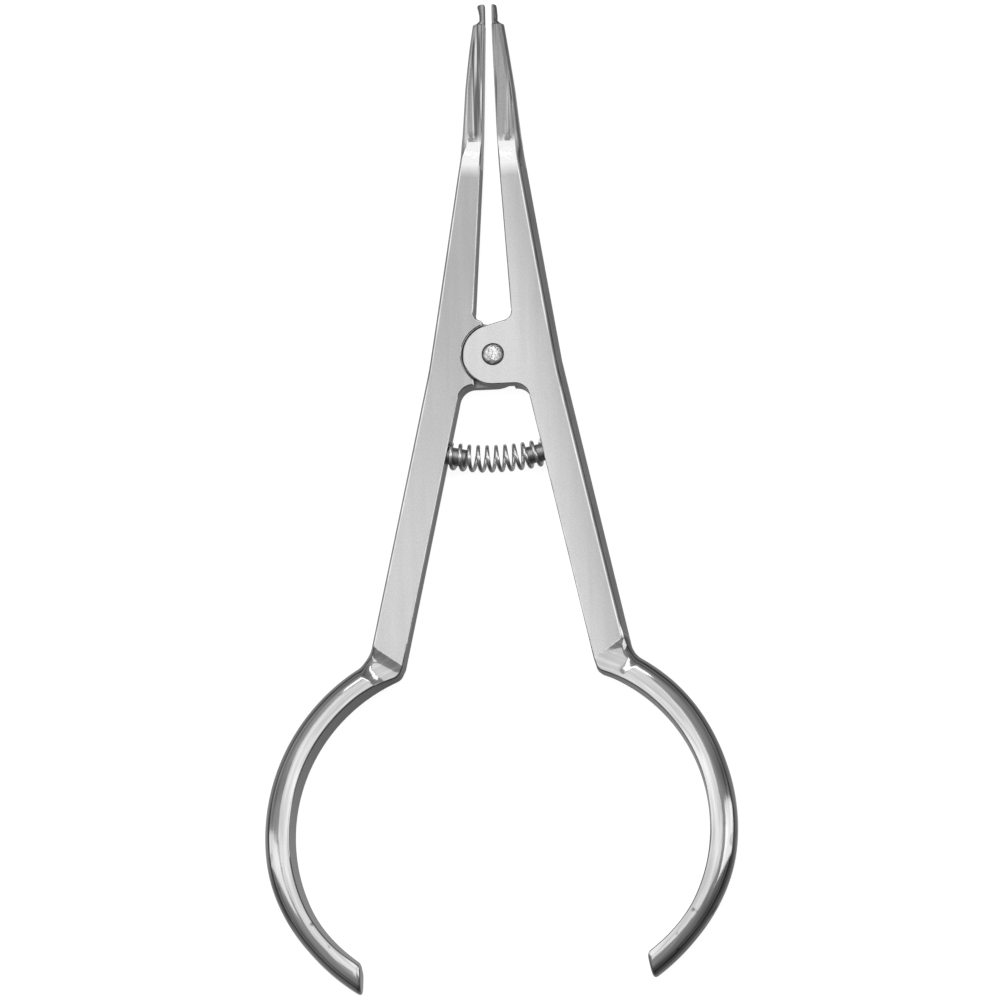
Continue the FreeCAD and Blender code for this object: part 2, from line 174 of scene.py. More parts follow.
def arm_stations(hook_out, end_slant, trim, lean, scoop, thin):
    """Sections from the tip to the end of the handle, as dictionaries of edges and shares.

    hook_out is the hook's reach, end_slant the angle of the handle's end, trim what is off the outer
    wall, lean that of the handle's inner wall, scoop the dip below the heel, thin what is off the bow.
    """
    stations = []

    def add(zone, inner, outer, half, nose=0.0, bow=0.0, inset=0.0, edge=EDGE_ROUND, flat=0.0):
        outer = outer - (outer - inner).normalized() * trim * flat
        stations.append(dict(zone=zone, inner=inner, outer=outer, half=half, nose=nose, bow=bow,
                             inset=inset, edge=edge, swell=WALL_SWELL - trim * flat,
                             lean=lean * bow))

    # The hook: a small post that flares to its tip.
    flank = [(NOSE_END + 0.02, 2.12), (50.32, 1.95), (50.5, 1.62), (50.8, HOOK_WAIST),
             (51.6, HOOK_WAIST), (52.4, (hook_out + HOOK_WAIST) / 2), (52.9, hook_out),
             (TIP - 0.1, hook_out - 0.05), (TIP, hook_out - 0.16)]
    rows = [(TIP, 0.14), (TIP - 0.03, 0.06)]
    rows += [(y, 0.0) for y in (TIP - 0.1, 52.98, 52.8, 52.4, 52.0, 51.6, 51.2, 50.8, 50.6, 50.45,
                                50.32, NOSE_END + 0.02)]
    for y, inset in rows:
        add("hook", Vector((TIP_GAP, y)), Vector((read(flank, y), y)), HOOK_HALF, inset=inset,
            edge=HOOK_EDGE)
    # The nose: a bevelled bar that thickens and widens towards the shoulder.
    for step in range(5):
        turn = math.radians(90 * step / 4)
        y = NOSE_END - NOSE_END_ROUND * (1 - math.cos(turn))
        add("nose", Vector((TIP_GAP, y)), Vector((read(OUTER_EDGE, y), y)),
            read(NOSE_HALF, y), nose=1.0, inset=NOSE_END_ROUND * (1 - math.sin(turn)),
            edge=NOSE_EDGE)
    steps = 44
    start = NOSE_END - NOSE_END_ROUND
    for step in range(1, steps + 1):
        y = start + (PLATE_START - start) * step / steps
        straight = read(NOSE_HALF, y)
        half = straight + (HALF_PLATE - straight) * ramp(y, NOSE_SHOULDER - 1.4, PLATE_START + 0.2)
        share = ramp(y, NOSE_FOOT - 0.4, NOSE_SHOULDER - 1.2)
        inner = Vector((read(INNER_EDGE, y), y))
        outer = Vector((read(OUTER_EDGE, y), y))
        add("nose", inner, outer, half, nose=share, edge=NOSE_EDGE + (EDGE_ROUND - NOSE_EDGE) * (1 - share),
            flat=1 - ramp(y, NOSE_FOOT - 1, NOSE_FOOT + 18))
    # The flat plate: straight across down to the slot's foot, then square to the arm.
    for step in range(1, 13):
        y = PLATE_START + (SLOT_FOOT - PLATE_START) * step / 12
        add("plate", Vector((read(INNER_EDGE, y), y)), Vector((read(OUTER_EDGE, y), y)), HALF_PLATE,
            flat=1.0)
    side = Vector((read(OUTER_EDGE, SLOT_FOOT), SLOT_FOOT))
    elbow = Vector((read(OUTER_EDGE, -1.0), -1.0))
    foot = Vector((read(INNER_EDGE, SLOT_FOOT), SLOT_FOOT))
    low_inner, low_outer = on_arm(INNER_OFFSET, 5), on_arm(OUTER_OFFSET, 5)
    for step in range(1, 9):
        outer = side.lerp(elbow, step / 5) if step <= 5 else elbow.lerp(low_outer, (step - 5) / 3)
        add("plate", foot.lerp(low_inner, step / 8), outer, HALF_PLATE, flat=1.0)
    for step in range(1, 15):
        share = step / 14
        add("plate", on_arm(INNER_OFFSET, 5 + (FACE_END_INNER - 5) * share),
            on_arm(OUTER_OFFSET, 5 + (FACE_END_OUTER - 5) * share), HALF_PLATE, flat=1.0)
    # The neck and the bowed handle, which ends in a slanting cut with rounded edges.
    count = 41
    inner_edge = neck_edge(INNER_OFFSET, HEEL_ROUND, BOW_INNER, FACE_END_INNER, count)
    outer_edge = neck_edge(OUTER_OFFSET, NECK_ROUND, BOW_OUTER, FACE_END_OUTER, count)
    for step in range(1, count):
        share = step / (count - 1)
        bow = 1 - (1 - share) ** 3.2
        dip = scoop * math.sin(math.pi * min(share / 0.55, 1.0))
        add("neck", inner_edge[step], outer_edge[step],
            HALF_PLATE + (HALF_HANDLE - HALF_PLATE) * ramp(share, 0.1, 1.0) - dip, bow=bow,
            flat=1 - ramp(share, 0.0, 0.35))
    bow_run = math.radians(NECK_ANGLE - END_ANGLE) * (BOW_INNER + BOW_OUTER) / 2
    last = 1 - END_ROUND / bow_run
    shares = [(last * step / 90, 0.0) for step in range(1, 91)]
    for step in range(1, 6):
        turn = math.radians(90 * step / 5)
        shares.append((last + (1 - last) * math.sin(turn), END_ROUND * (1 - math.cos(turn))))
    for share, inset in shares:
        angle = NECK_ANGLE + (END_ANGLE - NECK_ANGLE) * share
        skew = (END_ANGLE - end_slant) * ramp(share, 0.85, 1.0)
        slim = TAPER_OUTER * ramp(share, 0.56, 1.05) + thin * ramp(share, 0.0, 0.35)
        curl = TAPER_INNER * ramp(share, 0.74, 1.08)
        inner = arc(BOW_CENTRE, BOW_INNER - curl, angle, angle, 1)[0]
        outer = arc(BOW_CENTRE, BOW_OUTER - slim, angle - skew, angle - skew, 1)[0]
        add("bow", inner, outer, HALF_HANDLE, bow=1.0, inset=inset)
    return stations


def half_section(station):
    """Front half of one section: (distance from the inner edge, height) from inner to outer.

    Plate, nose and bow have the same number of points, so that their shares blend them.
    """
    top = station["half"] - station["inset"]
    first = station["inset"]
    last = (station["outer"] - station["inner"]).length - station["inset"]
    edge = min(station["edge"], top * 0.6)
    wall = [(first, (top - edge) * share) for share in (0, 0.4, 0.8)]
    turns = [math.radians(15 * step) for step in range(7)]
    wall += [(first + edge * (1 - math.cos(turn)), top - edge + edge * math.sin(turn))
             for turn in turns]
    lean = station["lean"]
    wall = [(out + lean * height / top, height) for out, height in wall]
    begin = first + edge + lean
    face_shares = (0.03, 0.12, 0.3, 0.48, 0.66, 0.84, 0.97, 1.0)

    swell = min(station["swell"], 0.42 * (last - first))
    soft = min(0.25, swell * 0.5)
    shoulder = last - swell
    face_end = shoulder - soft
    plate = [(begin + (face_end - begin) * share, top) for share in face_shares]
    low = top - soft
    wall_top = (last - swell * (low / top) ** 2, low)
    for share in (0.25, 0.5, 0.75, 1.0):
        a, b, c = (1 - share) ** 2, 2 * share * (1 - share), share ** 2
        plate.append((a * face_end + b * shoulder + c * wall_top[0], a * top + b * top + c * low))
    for step in range(1, 9):
        height = low * (1 - step / 8)
        plate.append((last - swell * (height / top) ** 2, height))

    strip, strip_drop, side, side_drop = 0.95, 0.12, 0.36, 0.6
    nose = [(begin + (last - strip - begin) * share, top) for share in face_shares]
    for share in (0.25, 0.5, 0.75, 1.0):
        nose.append((last - strip + (strip - side) * share, top - strip_drop * share))
    for share in (0.34, 0.67, 1.0):
        nose.append((last - side + (side - 0.03) * share,
                     top - strip_drop - (side_drop - strip_drop) * share))
    for step in range(1, 6):
        nose.append((last - 0.03 + 0.03 * step / 5, (top - side_drop) * (1 - step / 5)))

    bow = []
    for step in range(1, 21):
        turn = math.radians(90 * (1 - step / 20) * 0.97)
        bow.append((begin + (last - begin) * math.cos(turn) ** BOW_FULLNESS,
                    top * math.sin(turn) ** BOW_FULLNESS))
    nose_share, bow_share = station["nose"], station["bow"]
    plate_share = 1 - nose_share - bow_share
    section = list(wall)
    for a, b, c in zip(plate, nose, bow):
        section.append((a[0] * plate_share + b[0] * nose_share + c[0] * bow_share,
                        a[1] * plate_share + b[1] * nose_share + c[1] * bow_share))
    return section


def finish_of(zone, column):
    """Which finish a strip of the arm's surface has; columns count from the inner wall outwards."""
    if zone in ("hook", "nose"):
        return STONED if zone == "hook" or 9 <= column < 20 else BRIGHT
    if column < 2 or (column < 4 and zone in ("bow", "neck")):
        return GROUND
    if zone == "plate":
        return SATIN if 9 <= column < 16 else GROUND if column >= 21 else BRIGHT
    return BRIGHT


def place(x, y, z, mirror):
    """A spot in the frame, in metres, from millimetres about the pivot."""
    return PIVOT + Vector((x * mirror, y, z)) * MM


def forged_bar(name, stations, mirror):
    """The arm from tip to handle as one closed skin of four-sided faces."""
    bm = bmesh.new()
    rings = []
    for station in stations:
        half = half_section(station)
        whole = half + [(out, -height) for out, height in half[-2:0:-1]]
        across = (station["outer"] - station["inner"]).normalized()
        ring = []
        for out, height in whole:
            spot = station["inner"] + across * out
            ring.append(bm.verts.new(place(spot.x, spot.y, height, mirror)))
        rings.append(ring)
    columns = len(rings[0])
    front = len(half) - 1
    for station, a, b in zip(stations[1:], rings[:-1], rings[1:]):
        for column in range(columns):
            after = (column + 1) % columns
            face = bm.faces.new((a[column], a[after], b[after], b[column]))
            strip = column if column < front else columns - 1 - column
            face.material_index = finish_of(station["zone"], strip)
            if face.material_index == STONED and station["inner"].y < NOSE_SHOULDER - 1.5:
                face.material_index = SATIN
    for ring in (rings[0], rings[-1]):
        bm.faces.new(ring).material_index = BRIGHT
    return to_object(bm, name)


def to_object(bm, name):
    """An object in the scene, with its faces turned outwards."""
    bmesh.ops.recalc_face_normals(bm, faces=bm.faces)
    mesh = bpy.data.meshes.new(name)
    bm.to_mesh(mesh)
    bm.free()
    obj = bpy.data.objects.new(name, mesh)
    bpy.context.collection.objects.link(obj)
    return obj


def prism(name, loops, finishes, mirror):
    """Closed block through loops of (outline, height); the finishes run from first end to last."""
    bm = bmesh.new()
    rings = [[bm.verts.new(place(spot.x, spot.y, height, mirror)) for spot in outline]
             for outline, height in loops]
    for (low, high), finish in zip(zip(rings[:-1], rings[1:]), finishes[1:-1]):
        for step in range(len(low)):
            after = (step + 1) % len(low)
            bm.faces.new((low[step], low[after], high[after], high[step])).material_index = finish
    bm.faces.new(rings[0]).material_index = finishes[0]
    bm.faces.new(rings[-1]).material_index = finishes[-1]
    return to_object(bm, name)


def inset(outline, amount):
    """The outline moved inwards; it runs counterclockwise."""
    moved = []
    for before, spot, after in zip([outline[-1]] + outline[:-1], outline, outline[1:] + outline[:1]):
        back, on = (spot - before).normalized(), (after - spot).normalized()
        normal = (Vector((-back.y, back.x)) + Vector((-on.y, on.x))).normalized()
        cosine = max(normal.dot(Vector((-on.y, on.x))), 0.5)
        moved.append(spot + normal * amount / cosine)
    return moved


def lobe_and_web(name, mirror):
    """The round lobe at the pivot and the web that joins it to the arm, with rounded edges."""
    start = math.degrees(math.atan2(WEB_START.y, WEB_START.x))
    outline = arc(Vector((0, 0)), LOBE, start, 270, 60)
    outline += fillet(Vector((0, -LOBE)), CROTCH_CORNER, CROTCH_CORNER + DOWNWARD * 5,
                      CROTCH_ROUND, 12)
    outline += [Vector((7.6, -6.2)), Vector((5.2, 7.2))]
    slot_top = Vector((read(INNER_EDGE, NOSE_FOOT), NOSE_FOOT))
    corner = Vector((read(INNER_EDGE, SLOT_FOOT), SLOT_FOOT))
    corner += (corner - slot_top).normalized() * (SLOT_FOOT - WEB_CORNER.y)
    outline += fillet(slot_top, corner, WEB_START, WEB_ROUND, 10)
    loops = []
    turns = [math.radians(15 * step) for step in range(7)]
    for turn in turns[::-1]:
        loops.append((inset(outline, EDGE_ROUND * (1 - math.cos(turn))),
                      -WEB_HALF + EDGE_ROUND * (1 - math.sin(turn))))
    for turn in turns:
        loops.append((inset(outline, EDGE_ROUND * (1 - math.cos(turn))),
                      WEB_HALF - EDGE_ROUND * (1 - math.sin(turn))))
    finishes = [SATIN] + [BRIGHT] * 6 + [GROUND] + [BRIGHT] * 6 + [SATIN]
    return prism(name, loops, finishes, mirror)


def recess_cutter(name, side, mirror):
    """What the mill takes off one half of the thickness, with the edge broken at the face."""
    def outline(grow):
        radius = RECESS + grow
        top, bottom = RELIEF_TOP - grow, RELIEF_BOTTOM - grow
        first = math.degrees(math.atan2(math.sqrt(radius ** 2 - top ** 2), top))
        last = 360 + math.degrees(math.atan2(-math.sqrt(radius ** 2 - bottom ** 2), bottom))
        points = arc(Vector((0, 0)), radius, first, last, 60)
        return points + [Vector((bottom, -7)), Vector((8, -7)), Vector((8, 7)), Vector((top, 7))]
    heights = [(-LAP_GAP, 0.0)]
    for step in range(5):
        turn = math.radians(90 * step / 4)
        heights.append((HALF_PLATE - EDGE_ROUND * math.cos(turn) * 0.8,
                        EDGE_ROUND * 0.8 * (1 - math.sin(math.pi / 2 - turn))))
    heights.append((HALF_PLATE + 1, EDGE_ROUND * 0.8))
    # The outlines run towards the other arm, so they mirror with the arm that they cut.
    loops = [([Vector((-spot.x, spot.y)) for spot in outline(grow)], side * height)
             for height, grow in heights]
    return prism(name, loops, [GROUND, GROUND] + [BRIGHT] * 5 + [GROUND], mirror)


def drill(name, radius):
    """A round cutter through both faces."""
    circle = arc(Vector((0, 0)), radius, 0, 360 - 360 / 64, 63)
    return prism(name, [(circle, -4), (circle, 4)], [GROUND] * 3, 1)


def cut(obj, *steps):
    """Applies booleans of (operation, tool) and removes the tools."""
    for operation, tool in steps:
        change = obj.modifiers.new(tool.name, "BOOLEAN")
        change.operation = operation
        change.solver = "EXACT"
        change.object = tool
    settle(obj)
    for operation, tool in steps:
        mesh = tool.data
        bpy.data.objects.remove(tool)
        bpy.data.meshes.remove(mesh)


def settle(obj):
    """Turns the object's modifiers into plain mesh."""
    graph = bpy.context.evaluated_depsgraph_get()
    mesh = bpy.data.meshes.new_from_object(obj.evaluated_get(graph))
    obj.modifiers.clear()
    old, obj.data = obj.data, mesh
    bpy.data.meshes.remove(old)
    mesh.name = obj.name


def shade(obj, degrees):
    """Smooth shading with sharp creases; large faces keep their own direction."""
    bm = bmesh.new()
    bm.from_mesh(obj.data)
    bmesh.ops.remove_doubles(bm, verts=bm.verts, dist=0.0005 * MM)
    bm.to_mesh(obj.data)
    bm.free()
    obj.data.shade_smooth()
    obj.data.set_sharp_from_angle(angle=math.radians(degrees))
    weighted = obj.modifiers.new("Weighted normals", "WEIGHTED_NORMAL")
    weighted.keep_sharp = True
    settle(obj)


class Reading:
    """A socket's value; sums on it add their own Math nodes."""
    def __init__(self, nodes, socket):
        self.nodes = nodes
        self.socket = socket

    def sum(self, operation, a, b):
        return self.nodes.add("ShaderNodeMath", {"operation": operation}, {0: a, 1: b})

    def __add__(self, other):
        return self.sum("ADD", self, other)

    def __sub__(self, other):
        return self.sum("SUBTRACT", self, other)

    def __rsub__(self, other):
        return self.sum("SUBTRACT", other, self)

    def __mul__(self, other):
        return self.sum("MULTIPLY", self, other)

    def __truediv__(self, other):
        return self.sum("DIVIDE", self, other)

    __radd__ = __add__
    __rmul__ = __mul__


class Nodes:
    """A tree's nodes, which all come from one method."""
    def __init__(self, tree):
        self.tree = tree

    def add(self, kind, settings, values, result=0):
        node = self.tree.nodes.new(kind)
        for name, value in settings.items():
            if name == "stops":
                ramp_stops = node.color_ramp.elements
                for index, (position, shade_of) in enumerate(value):
                    stop = ramp_stops[index] if index < 2 else ramp_stops.new(position)
                    stop.position = position
                    grey = isinstance(shade_of, float)
                    stop.color = (shade_of,) * 3 + (1,) if grey else (*shade_of, 1)
            else:
                setattr(node, name, value)
        for name, value in values.items():
            if isinstance(value, Reading):
                self.tree.links.new(value.socket, node.inputs[name])
            else:
                node.inputs[name].default_value = value
        return Reading(self, node.outputs[result])

    def span(self, value, low, high, first, last):
        return self.add("ShaderNodeMapRange", {"clamp": True}, {
            "Value": value, "From Min": low, "From Max": high, "To Min": first, "To Max": last})

    def blend(self, factor, first, last):
        """A colour between two: plain greys or readings."""
        sides = [(side,) * 3 + (1,) if isinstance(side, float) else side for side in (first, last)]
        return self.add("ShaderNodeMix", {"data_type": "RGBA"}, {0: factor, 6: sides[0], 7: sides[1]}, 2)


class Finish(Nodes):
    """A material on its own principled shader."""
    def __init__(self, name, **constants):
        self.material = bpy.data.materials.new(name)
        self.material.use_nodes = True
        super().__init__(self.material.node_tree)
        self.shader = self.tree.nodes["Principled BSDF"]
        for socket, value in constants.items():
            self.shader.inputs[socket.replace("_", " ")].default_value = value
        self.place = self.add("ShaderNodeTexCoord", {}, {}, "Object")
        self.across = self.add("ShaderNodeSeparateXYZ", {}, {"Vector": self.place}, "X")
        self.up = self.add("ShaderNodeSeparateXYZ", {}, {"Vector": self.place}, "Y")

    def feed(self, socket, value):
        self.tree.links.new(value.socket, self.shader.inputs[socket])

    def clouds(self, scale, detail=2.0, rough=0.5, stretch=None, turn=0.0):
        """Noise from 0 to 1 about an even middle, with spots of 1 / scale metres."""
        spot = self.place
        if stretch or turn:
            spot = self.add("ShaderNodeMapping", {}, {"Vector": self.place, "Scale": stretch,
                                                      "Rotation": (0, 0, math.radians(turn))})
        return self.add("ShaderNodeTexNoise", {}, {"Vector": spot, "Scale": scale,
                                                   "Detail": detail, "Roughness": rough})

    def scratches(self, scale, turn, width):
        """Thin straight lines, 1 on a line and 0 beside it."""
        noise_of = self.clouds(scale, 3.0, 0.6, (1.0, 0.03, 0.25), turn)
        return self.add("ShaderNodeMapRange", {"clamp": True}, {
            "Value": noise_of, "From Min": width, "From Max": width + 0.05})

    def bump(self, height, strength, depth):
        self.feed("Normal", self.add("ShaderNodeBump", {}, {
            "Height": height, "Strength": strength, "Distance": depth}))


def satin_steel(mirror):
    """Fine blasted grain with faint strokes along the arm, uneven in tone; painted shade darkens each face
    across it.
    """
    finish = Finish("satin steel", Metallic=1.0)
    turn = mirror * ARM_ANGLE
    out = finish.across * (mirror * OUTWARD.x) + finish.up * OUTWARD.y
    foot = PIVOT.y * OUTWARD.y
    # Painted shade: the left face darkens towards the tips and the right face towards its outer edge, for
    # the way the lamps fall on them.
    if mirror < 0:
        shade_of = finish.span(finish.up, PIVOT.y - 32 * MM, PIVOT.y + 14 * MM, 1.0, 0.71)
    else:
        shade_of = finish.span(out, foot + 3.9 * MM, foot + 9 * MM, 1.07, 0.79)
    grain = finish.clouds(5200, 2.0, 0.65)
    streaks = finish.clouds(900, 4.0, 0.6, (1.0, 0.04, 1.0), turn)
    smudges = finish.clouds(120, 3.0, 0.55)
    lines = finish.scratches(700, turn + 7, 0.68)
    tone = finish.span(grain, 0.3, 0.7, 0.0, 1.0) * 0.5 + streaks * 0.3 + smudges * 0.2
    colour = finish.add("ShaderNodeValToRGB", {"stops": [(0.25, (0.62, 0.62, 0.625)),
                                                         (0.75, (0.74, 0.74, 0.745))]}, {"Fac": tone})
    # Here the painted shade darkens the grain's colour.
    colour = finish.add("ShaderNodeVectorMath", {"operation": "SCALE"},
                        {"Vector": colour, "Scale": shade_of})
    # Towards the nose the satin face runs out into the buffed shoulder.
    buffed = finish.span(finish.up + smudges * (2.2 * MM), PIVOT.y + 27.9 * MM, PIVOT.y + 30.0 * MM,
                         0.0, 1.0)
    dimples = finish.clouds(620, 2.0, 0.5)
    finish.feed("Base Color", finish.blend(buffed, colour, 0.74))
    finish.feed("Roughness", finish.span(streaks + smudges * 0.5, 0.4, 1.1, 0.34, 0.46)
                + lines * -0.06 - buffed * 0.22)
    finish.bump(grain * 0.6 + streaks * 0.4 + lines * 0.3 - buffed * grain * 0.5
                + buffed * dimples * 6, 0.35, 0.02 * MM)
    return finish.material


def ground_steel(mirror):
    """Walls straight from the grinding wheel: dull, with strokes along them."""
    finish = Finish("ground steel", Metallic=1.0)
    grain = finish.clouds(4000, 2.0, 0.6)
    streaks = finish.clouds(1100, 3.0, 0.6, (1.0, 0.05, 0.3), mirror * ARM_ANGLE)
    tone = grain * 0.5 + streaks * 0.5
    colour = finish.blend(finish.span(tone, 0.3, 0.7, 0.0, 1.0), 0.52, 0.7)
    # The handle's inner wall is finer ground than the plate's.
    on_bow = finish.span(finish.up, PIVOT.y - 50 * MM, PIVOT.y - 46 * MM, 0.8, 0.0)
    finish.feed("Base Color", finish.blend(on_bow, colour, 0.95))
    finish.feed("Roughness", finish.span(tone, 0.3, 0.7, 0.44, 0.58))
    finish.bump(tone, 0.3, 0.02 * MM)
    return finish.material


def bright_steel(mirror):
    """Buffed nearly to a mirror, with the waves and fine lines that hand buffing leaves."""
    finish = Finish("buffed steel", Metallic=1.0)
    # Below the heel the strokes follow the bow: distance from its centre, and way round it.
    aside = finish.across * mirror - BOW_CENTRE.x * MM
    below = finish.up - (PIVOT.y + BOW_CENTRE.y * MM)
    reach = finish.add("ShaderNodeMath", {"operation": "SQRT"}, {0: aside * aside + below * below})
    round_it = finish.add("ShaderNodeMath", {"operation": "ARCTAN2"}, {0: below, 1: aside})
    deep = finish.add("ShaderNodeSeparateXYZ", {}, {"Vector": finish.place}, "Z")
    bent = finish.add("ShaderNodeCombineXYZ", {}, {"X": reach, "Y": round_it * (BOW_INNER * MM),
                                                   "Z": deep})
    on_bow = finish.span(finish.up, PIVOT.y - 43.4 * MM, PIVOT.y - 42.8 * MM, 1.0, 0.0)
    finish.place = finish.add("ShaderNodeMix", {"data_type": "VECTOR"},
                              {0: on_bow, 4: finish.place, 5: bent}, 1)
    waves = finish.clouds(150, 2.0, 0.5, (1.0, 0.3, 1.0))
    lines = finish.clouds(1500, 3.0, 0.6, (1.0, 0.05, 1.0))
    ripples = finish.span(finish.clouds(620, 3.0, 0.6, (1.0, 0.16, 1.0)), 0.35, 0.65, 0.0, 1.0)
    tone = waves * 0.4 + lines * 0.6
    colour = finish.blend(finish.span(tone, 0.38, 0.62, 0.0, 1.0), 0.46, 0.78)
    # Painted dark reflections lie as streaks lengthwise along the bow, with short dark marks towards the
    # handle's end.
    dark = finish.span(finish.clouds(430, 3.0, 0.6, (1.0, 0.07, 1.0)), 0.56, 0.66, 0.0, 1.0)
    dark_end_marks = finish.span(finish.clouds(800, 2.0, 0.6, (0.6, 0.35, 1.0)), 0.64, 0.7, 0.0, 1.0)
    dark_end_marks = dark_end_marks * finish.span(finish.up, PIVOT.y - 82 * MM, PIVOT.y - 68 * MM, 1.0, 0.0)
    colour = finish.blend(dark * 0.7 * on_bow, colour, 0.14)
    finish.feed("Base Color", finish.blend(dark_end_marks * 0.8, colour, 0.1))
    finish.feed("Roughness", finish.span(tone, 0.35, 0.65, 0.07, 0.15))
    finish.bump(waves * 0.7 + ripples * 0.1 + lines * 0.04, 0.5, 0.12 * MM)
    return finish.material


def nose_steel(mirror):
    """The nose's front: stoned lengthwise, duller than the shoulder, with a few deep strokes."""
    finish = Finish("stoned steel", Metallic=1.0)
    turn = mirror * 4.0
    grain = finish.clouds(3600, 2.0, 0.6)
    strokes = finish.clouds(1500, 3.0, 0.6, (1.0, 0.03, 1.0), turn)
    dark = finish.span(finish.clouds(1150, 2.0, 0.5, (1.0, 0.02, 1.0), turn), 0.53, 0.6, 0.0, 1.0)
    pale = finish.span(finish.clouds(900, 2.0, 0.5, (1.0, 0.02, 1.0), turn + 1), 0.55, 0.61, 0.0, 1.0)
    buffed = finish.span(finish.up + strokes * (2.6 * MM), PIVOT.y + 33.0 * MM, PIVOT.y + 34.6 * MM,
                         1.0, 0.0)
    tone = grain * 0.4 + strokes * 0.6
    colour = finish.blend(finish.span(tone, 0.35, 0.65, 0.0, 1.0), 0.28, 0.44)
    colour = finish.blend(dark * 0.85, colour, 0.1)
    colour = finish.blend(pale * 0.8, colour, 0.9)
    colour = finish.blend(buffed, colour, 0.76)
    # A small patch of painted dark reflection sits where the nose's front meets the shoulder.
    out = finish.across * mirror + (grain - 0.5) * (1.2 * MM)
    fillet_dark_reflection = finish.span(out, 2.1 * MM, 2.4 * MM, 0.0, 1.0) * finish.span(out, 3.0 * MM, 3.3 * MM, 1.0, 0.0)
    fillet_dark_reflection = fillet_dark_reflection * finish.span(finish.up, PIVOT.y + 31.9 * MM, PIVOT.y + 32.3 * MM, 0.0, 1.0)
    fillet_dark_reflection = fillet_dark_reflection * finish.span(finish.up + grain * (1.5 * MM), PIVOT.y + 33.4 * MM, PIVOT.y + 34.8 * MM,
                              1.0, 0.0)
    finish.feed("Base Color", finish.blend(fillet_dark_reflection * 0.75, colour, 0.1))
    finish.feed("Roughness", finish.span(tone, 0.35, 0.65, 0.3, 0.42) - buffed * 0.2)
    finish.bump(strokes * 0.7 + grain * 0.3 - dark * 0.5, 0.4, 0.03 * MM)
    return finish.material


ARM_SHAPES = {
    "left": dict(hook_out=1.66, end_slant=-56.3, trim=0.5, lean=0.75, scoop=0.45, thin=0.0),
    "right": dict(hook_out=1.24, end_slant=-54.0, trim=0.0, lean=0.35, scoop=0.2, thin=0.4)}
for side, mirror in (("left", -1), ("right", 1)):
    arm = forged_bar(side + "_plier_arm", arm_stations(**ARM_SHAPES[side]), mirror)
    cut(arm,
        ("UNION", lobe_and_web(side + " lobe", mirror)),
        ("DIFFERENCE", recess_cutter(side + " recess", -mirror, mirror)),
        ("DIFFERENCE", drill(side + " bore", RIVET_BORE)))
    shade(arm, CREASE_ANGLE)
    for make in (satin_steel, ground_steel, bright_steel, nose_steel):
        arm.data.materials.append(make(mirror))
    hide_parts(side + "_arm")
    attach(arm, side + "_half")

# --- Pivot rivet --------------------------------------------------------------------------------
# A steel pin through both lobes, peened over into a low head at each face. The hammer leaves each head
# uneven; each head's rim is rougher and carries painted shade.
RIVET_SHANK = 1.25
RIVET_HEAD = 1.65
HEAD_RIM = 0.06
HAMMER_DEPTH = 0.07
HEAD_FOOT = 2.02
HEAD_CROWN = 2.385


def turned(name, profile, centre, axis, steps, wobble=None):
    """A turned piece: (radius, height) profile about an axis, closed at both ends."""
    bm = bmesh.new()
    upright = Vector((0, 0, 1)).rotation_difference(axis).to_matrix()
    rings = []
    for index, (radius, height) in enumerate(profile):
        ring = []
        for step in range(steps):
            angle = 2 * math.pi * step / steps
            spot = Vector((radius * math.cos(angle), radius * math.sin(angle), height))
            if wobble:
                spot = wobble(spot)
            ring.append(bm.verts.new(PIVOT + (centre + upright @ spot) * MM))
        rings.append(ring)
    for low, high in zip(rings[:-1], rings[1:]):
        for step in range(steps):
            after = (step + 1) % steps
            bm.faces.new((low[step], low[after], high[after], high[step]))
    bm.faces.new(rings[0])
    bm.faces.new(rings[-1])
    return to_object(bm, name)


def hammered(spot):
    """Leaves peening marks on the heads."""
    if abs(spot.z) < HEAD_FOOT + 0.05:
        return spot
    radius = math.hypot(spot.x, spot.y)
    side = 1 if spot.z > 0 else -1
    marks = noise.noise(Vector((spot.x * 2.1 + 5 * side, spot.y * 2.1, 3.7)))
    marks += 0.5 * noise.noise(Vector((spot.x * 5.3, spot.y * 5.3 + 4 * side, 1.3)))
    fade = 1 - ramp(radius, 1.25, RIVET_HEAD)
    return Vector((spot.x, spot.y, spot.z + HAMMER_DEPTH * (marks - 0.35) * fade * side))


def head_profile():
    """Half of a head, from its rim to its middle."""
    points = [(RIVET_SHANK, HEAD_FOOT), (RIVET_HEAD - 0.08, HEAD_FOOT),
              (RIVET_HEAD, HEAD_FOOT + HEAD_RIM)]
    for step in range(1, 25):
        share = step / 25
        radius = RIVET_HEAD * (1 - share)
        rise = (HEAD_CROWN - HEAD_FOOT - HEAD_RIM) * (1 - (1 - share) ** 2.6)
        points.append((radius, HEAD_FOOT + HEAD_RIM + rise))
    return points


upper = head_profile()
lower = [(radius, -height) for radius, height in upper[::-1]]
rivet = turned("peened_rivet", lower + upper, Vector((0, 0, 0)), Vector((0, 0, 1)), 72, hammered)
rivet.data.shade_smooth()
rivet.data.set_sharp_from_angle(angle=math.radians(40))
rivet_finish = Finish("peened steel", Metallic=1.0)
dents = rivet_finish.clouds(1100, 3.0, 0.6)
fine = rivet_finish.clouds(6000, 1.0, 0.5)
beside = rivet_finish.up - PIVOT.y
radius = rivet_finish.add("ShaderNodeMath", {"operation": "SQRT"}, {
    0: rivet_finish.across * rivet_finish.across + beside * beside})
